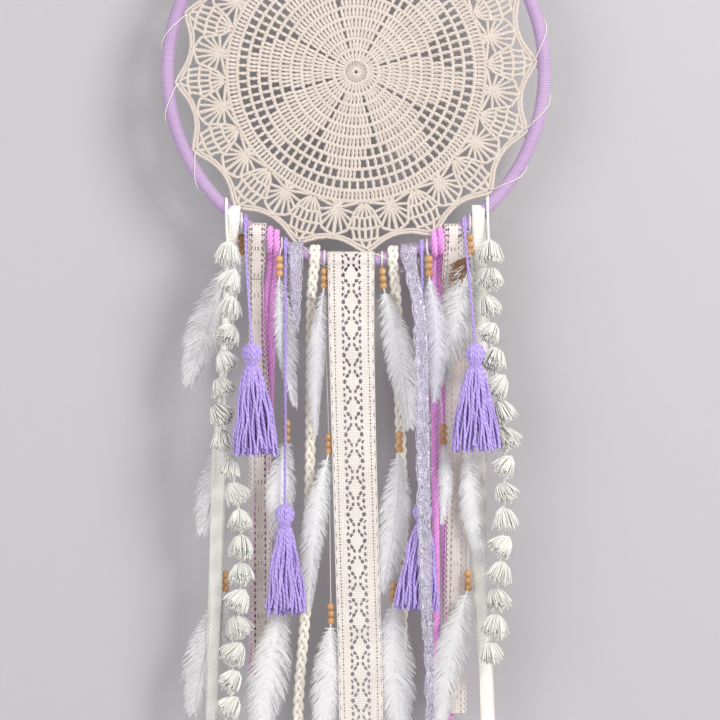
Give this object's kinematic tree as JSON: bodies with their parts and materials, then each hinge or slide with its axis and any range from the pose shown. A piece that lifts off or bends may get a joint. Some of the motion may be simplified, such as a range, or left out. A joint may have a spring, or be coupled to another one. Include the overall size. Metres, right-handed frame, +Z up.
{
  "type": "dream catcher",
  "caption": "Wall-hung yarn-wrapped hoop with a crochet doily, beaded feather strings, yarn tassels, laces, ribbons, ropes, braids and pom fringes.",
  "frame": {"origin": "inside top of the hanging loop, where a nail or hook carries the piece", "axes": "+Z up, front faces -Y, +X to the viewer's right"},
  "size_m": [0.3016, 0.0487, 0.725],
  "materials": {
    "loop_cord": "twisted cotton cord",
    "ring_steel": "plain ring hidden in the wrap",
    "hoop_yarn": "closely wrapped yarn, satin sheen",
    "doily_cotton": "mercerised cotton crochet",
    "lacing_string": "thin cotton string",
    "feather_string": "thin cotton string",
    "bead_wood": "waxed light wood",
    "feather_vane": "soft matte feather",
    "tassel_yarn": "soft plied yarn",
    "pom_wool": "fluffy cotton pom",
    "ivory_ribbon": "ribbed ribbon with picot edges",
    "narrow_lace": "woven cotton lace",
    "wide_lace": "woven cotton lace",
    "metallic_ribbon": "lilac ribbon with silver thread",
    "braid_cotton": "flat braid of cotton strands",
    "rope_yarn": "three-ply twisted yarn rope"
  },
  "bodies": {
    "hanger": {"hanging_loop": "loop_cord"},
    "hoop": {"hoop_core": "ring_steel", "hoop_wrap": "hoop_yarn", "loop_hitch": "loop_cord", "doily": "doily_cotton", "doily_lacing": "lacing_string"},
    "string_a": {"string_a_cord": "feather_string", "string_a_beads": "bead_wood", "feather_a_upper": "feather_vane", "feather_a_middle": "feather_vane", "feather_a_lower": "feather_vane"},
    "string_b": {"string_b_cord": "feather_string", "string_b_beads": "bead_wood", "feather_b_upper": "feather_vane", "feather_b_middle": "feather_vane", "feather_b_lower": "feather_vane"},
    "string_c": {"string_c_cord": "feather_string", "string_c_beads": "bead_wood", "feather_c_upper": "feather_vane", "feather_c_middle": "feather_vane", "feather_c_lower": "feather_vane"},
    "string_d": {"string_d_cord": "feather_string", "string_d_beads": "bead_wood", "feather_d_upper": "feather_vane", "feather_d_middle": "feather_vane", "feather_d_lower": "feather_vane"},
    "string_e": {"string_e_cord": "feather_string", "string_e_beads": "bead_wood", "feather_e_upper": "feather_vane", "feather_e_middle": "feather_vane"},
    "string_f": {"string_f_cord": "feather_string", "string_f_beads": "bead_wood", "feather_f_upper": "feather_vane", "feather_f_middle": "feather_vane", "feather_f_lower": "feather_vane"},
    "tassel_strand_1": {"tassel_1_cord": "tassel_yarn", "tassel_1": "tassel_yarn"},
    "tassel_strand_2": {"tassel_2_cord": "tassel_yarn", "tassel_2": "tassel_yarn"},
    "tassel_strand_3": {"tassel_3_cord": "tassel_yarn", "tassel_3": "tassel_yarn"},
    "tassel_strand_4": {"tassel_4_cord": "tassel_yarn", "tassel_4": "tassel_yarn"},
    "pom_fringe_left": {"pom_fringe_left_cord": "pom_wool", "pom_fringe_left_poms": "pom_wool"},
    "pom_fringe_right": {"pom_fringe_right_cord": "pom_wool", "pom_fringe_right_poms": "pom_wool"},
    "ivory_ribbon_left_strand": {"ivory_ribbon_left": "ivory_ribbon"},
    "ivory_ribbon_right_strand": {"ivory_ribbon_right": "ivory_ribbon"},
    "narrow_lace_left_strand": {"narrow_lace_left": "narrow_lace"},
    "narrow_lace_right_strand": {"narrow_lace_right": "narrow_lace"},
    "wide_lace_strand": {"wide_lace": "wide_lace"},
    "metallic_ribbon_left_strand": {"metallic_ribbon_left": "metallic_ribbon"},
    "metallic_ribbon_right_strand": {"metallic_ribbon_right": "metallic_ribbon"},
    "braid_left_strand": {"braid_left": "braid_cotton"},
    "braid_right_strand": {"braid_right": "braid_cotton"},
    "rope_left_strand": {"rope_left": "rope_yarn"},
    "rope_right_strand": {"rope_right": "rope_yarn"}
  },
  "joints": [
    {"name": "hoop_twist", "type": "hinge", "parent": "hanger", "child": "hoop", "pos_m": [0, 0, -0.0414], "axis": [0, 0, 1], "range_deg": [-12, 12]},
    {"name": "swing_string_a", "type": "hinge", "parent": "hoop", "child": "string_a", "pos_m": [-0.0878, 0, -0.3104], "axis": [0, 1, 0], "range_deg": [-2.5, 2.5]},
    {"name": "swing_string_b", "type": "hinge", "parent": "hoop", "child": "string_b", "pos_m": [-0.057, 0, -0.32833], "axis": [0, 1, 0], "range_deg": [-2.5, 2.5]},
    {"name": "swing_string_c", "type": "hinge", "parent": "hoop", "child": "string_c", "pos_m": [-0.0242, 0, -0.33797], "axis": [0, 1, 0], "range_deg": [-2.5, 2.5]},
    {"name": "swing_string_d", "type": "hinge", "parent": "hoop", "child": "string_d", "pos_m": [0.02, 0, -0.33861], "axis": [0, 1, 0], "range_deg": [-2.5, 2.5]},
    {"name": "swing_string_e", "type": "hinge", "parent": "hoop", "child": "string_e", "pos_m": [0.0544, 0, -0.32941], "axis": [0, 1, 0], "range_deg": [-2.5, 2.5]},
    {"name": "swing_string_f", "type": "hinge", "parent": "hoop", "child": "string_f", "pos_m": [0.0876, 0, -0.31055], "axis": [0, 1, 0], "range_deg": [-2.5, 2.5]},
    {"name": "swing_tassel_strand_1", "type": "hinge", "parent": "hoop", "child": "tassel_strand_1", "pos_m": [-0.0846, 0, -0.31276], "axis": [0, 1, 0], "range_deg": [-2.5, 2.5]},
    {"name": "swing_tassel_strand_2", "type": "hinge", "parent": "hoop", "child": "tassel_strand_2", "pos_m": [-0.054, 0, -0.32957], "axis": [0, 1, 0], "range_deg": [-2.5, 2.5]},
    {"name": "swing_tassel_strand_3", "type": "hinge", "parent": "hoop", "child": "tassel_strand_3", "pos_m": [0.0832, 0, -0.31376], "axis": [0, 1, 0], "range_deg": [-2.5, 2.5]},
    {"name": "swing_tassel_strand_4", "type": "hinge", "parent": "hoop", "child": "tassel_strand_4", "pos_m": [0.0504, 0, -0.33096], "axis": [0, 1, 0], "range_deg": [-2.5, 2.5]},
    {"name": "swing_pom_fringe_left", "type": "hinge", "parent": "hoop", "child": "pom_fringe_left", "pos_m": [-0.0995, 0, -0.30047], "axis": [0, 1, 0], "range_deg": [-2.5, 2.5]},
    {"name": "swing_pom_fringe_right", "type": "hinge", "parent": "hoop", "child": "pom_fringe_right", "pos_m": [0.101, 0, -0.29904], "axis": [0, 1, 0], "range_deg": [-2.5, 2.5]},
    {"name": "swing_ivory_ribbon_left_strand", "type": "hinge", "parent": "hoop", "child": "ivory_ribbon_left_strand", "pos_m": [-0.0936, 0, -0.30574], "axis": [0, 1, 0], "range_deg": [-2.5, 2.5]},
    {"name": "swing_ivory_ribbon_right_strand", "type": "hinge", "parent": "hoop", "child": "ivory_ribbon_right_strand", "pos_m": [0.094, 0, -0.3054], "axis": [0, 1, 0], "range_deg": [-2.5, 2.5]},
    {"name": "swing_narrow_lace_left_strand", "type": "hinge", "parent": "hoop", "child": "narrow_lace_left_strand", "pos_m": [-0.0759, 0, -0.31855], "axis": [0, 1, 0], "range_deg": [-2.5, 2.5]},
    {"name": "swing_narrow_lace_right_strand", "type": "hinge", "parent": "hoop", "child": "narrow_lace_right_strand", "pos_m": [0.075, 0, -0.3191], "axis": [0, 1, 0], "range_deg": [-2.5, 2.5]},
    {"name": "swing_wide_lace_strand", "type": "hinge", "parent": "hoop", "child": "wide_lace_strand", "pos_m": [-0.0038, 0, -0.33995], "axis": [0, 1, 0], "range_deg": [-2.5, 2.5]},
    {"name": "swing_metallic_ribbon_left_strand", "type": "hinge", "parent": "hoop", "child": "metallic_ribbon_left_strand", "pos_m": [-0.0463, 0, -0.33241], "axis": [0, 1, 0], "range_deg": [-2.5, 2.5]},
    {"name": "swing_metallic_ribbon_right_strand", "type": "hinge", "parent": "hoop", "child": "metallic_ribbon_right_strand", "pos_m": [0.041, 0, -0.33408], "axis": [0, 1, 0], "range_deg": [-2.5, 2.5]},
    {"name": "swing_braid_left_strand", "type": "hinge", "parent": "hoop", "child": "braid_left_strand", "pos_m": [-0.0315, 0, -0.33654], "axis": [0, 1, 0], "range_deg": [-2.5, 2.5]},
    {"name": "swing_braid_right_strand", "type": "hinge", "parent": "hoop", "child": "braid_right_strand", "pos_m": [0.0285, 0, -0.33717], "axis": [0, 1, 0], "range_deg": [-2.5, 2.5]},
    {"name": "swing_rope_left_strand", "type": "hinge", "parent": "hoop", "child": "rope_left_strand", "pos_m": [-0.0636, 0, -0.32531], "axis": [0, 1, 0], "range_deg": [-2.5, 2.5]},
    {"name": "swing_rope_right_strand", "type": "hinge", "parent": "hoop", "child": "rope_right_strand", "pos_m": [0.0626, 0, -0.32579], "axis": [0, 1, 0], "range_deg": [-2.5, 2.5]}
  ]
}
